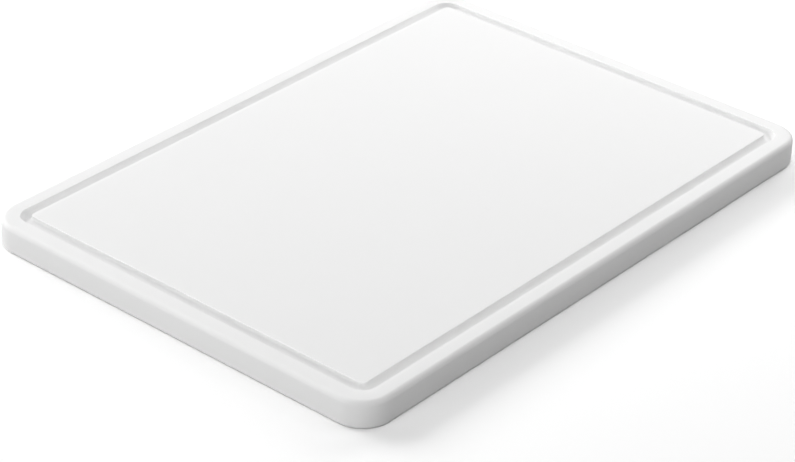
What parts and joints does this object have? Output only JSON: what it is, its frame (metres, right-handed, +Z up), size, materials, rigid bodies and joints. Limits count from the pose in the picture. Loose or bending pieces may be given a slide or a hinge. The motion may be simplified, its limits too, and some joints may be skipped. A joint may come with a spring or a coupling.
{
  "type": "cutting board",
  "caption": "Flat rectangular cutting board with round corners, eased edges and a juice groove round the top face.",
  "frame": {"origin": "centre of the underside, on the surface that the board lies on", "axes": "+X along the long side, +Y along the short side, +Z up out of the grooved face"},
  "size_m": [0.425, 0.3, 0.018],
  "materials": {
    "board_plastic": "matt off-white polyethylene with a fine grain"
  },
  "bodies": {
    "root": {"board": "board_plastic"}
  },
  "joints": []
}
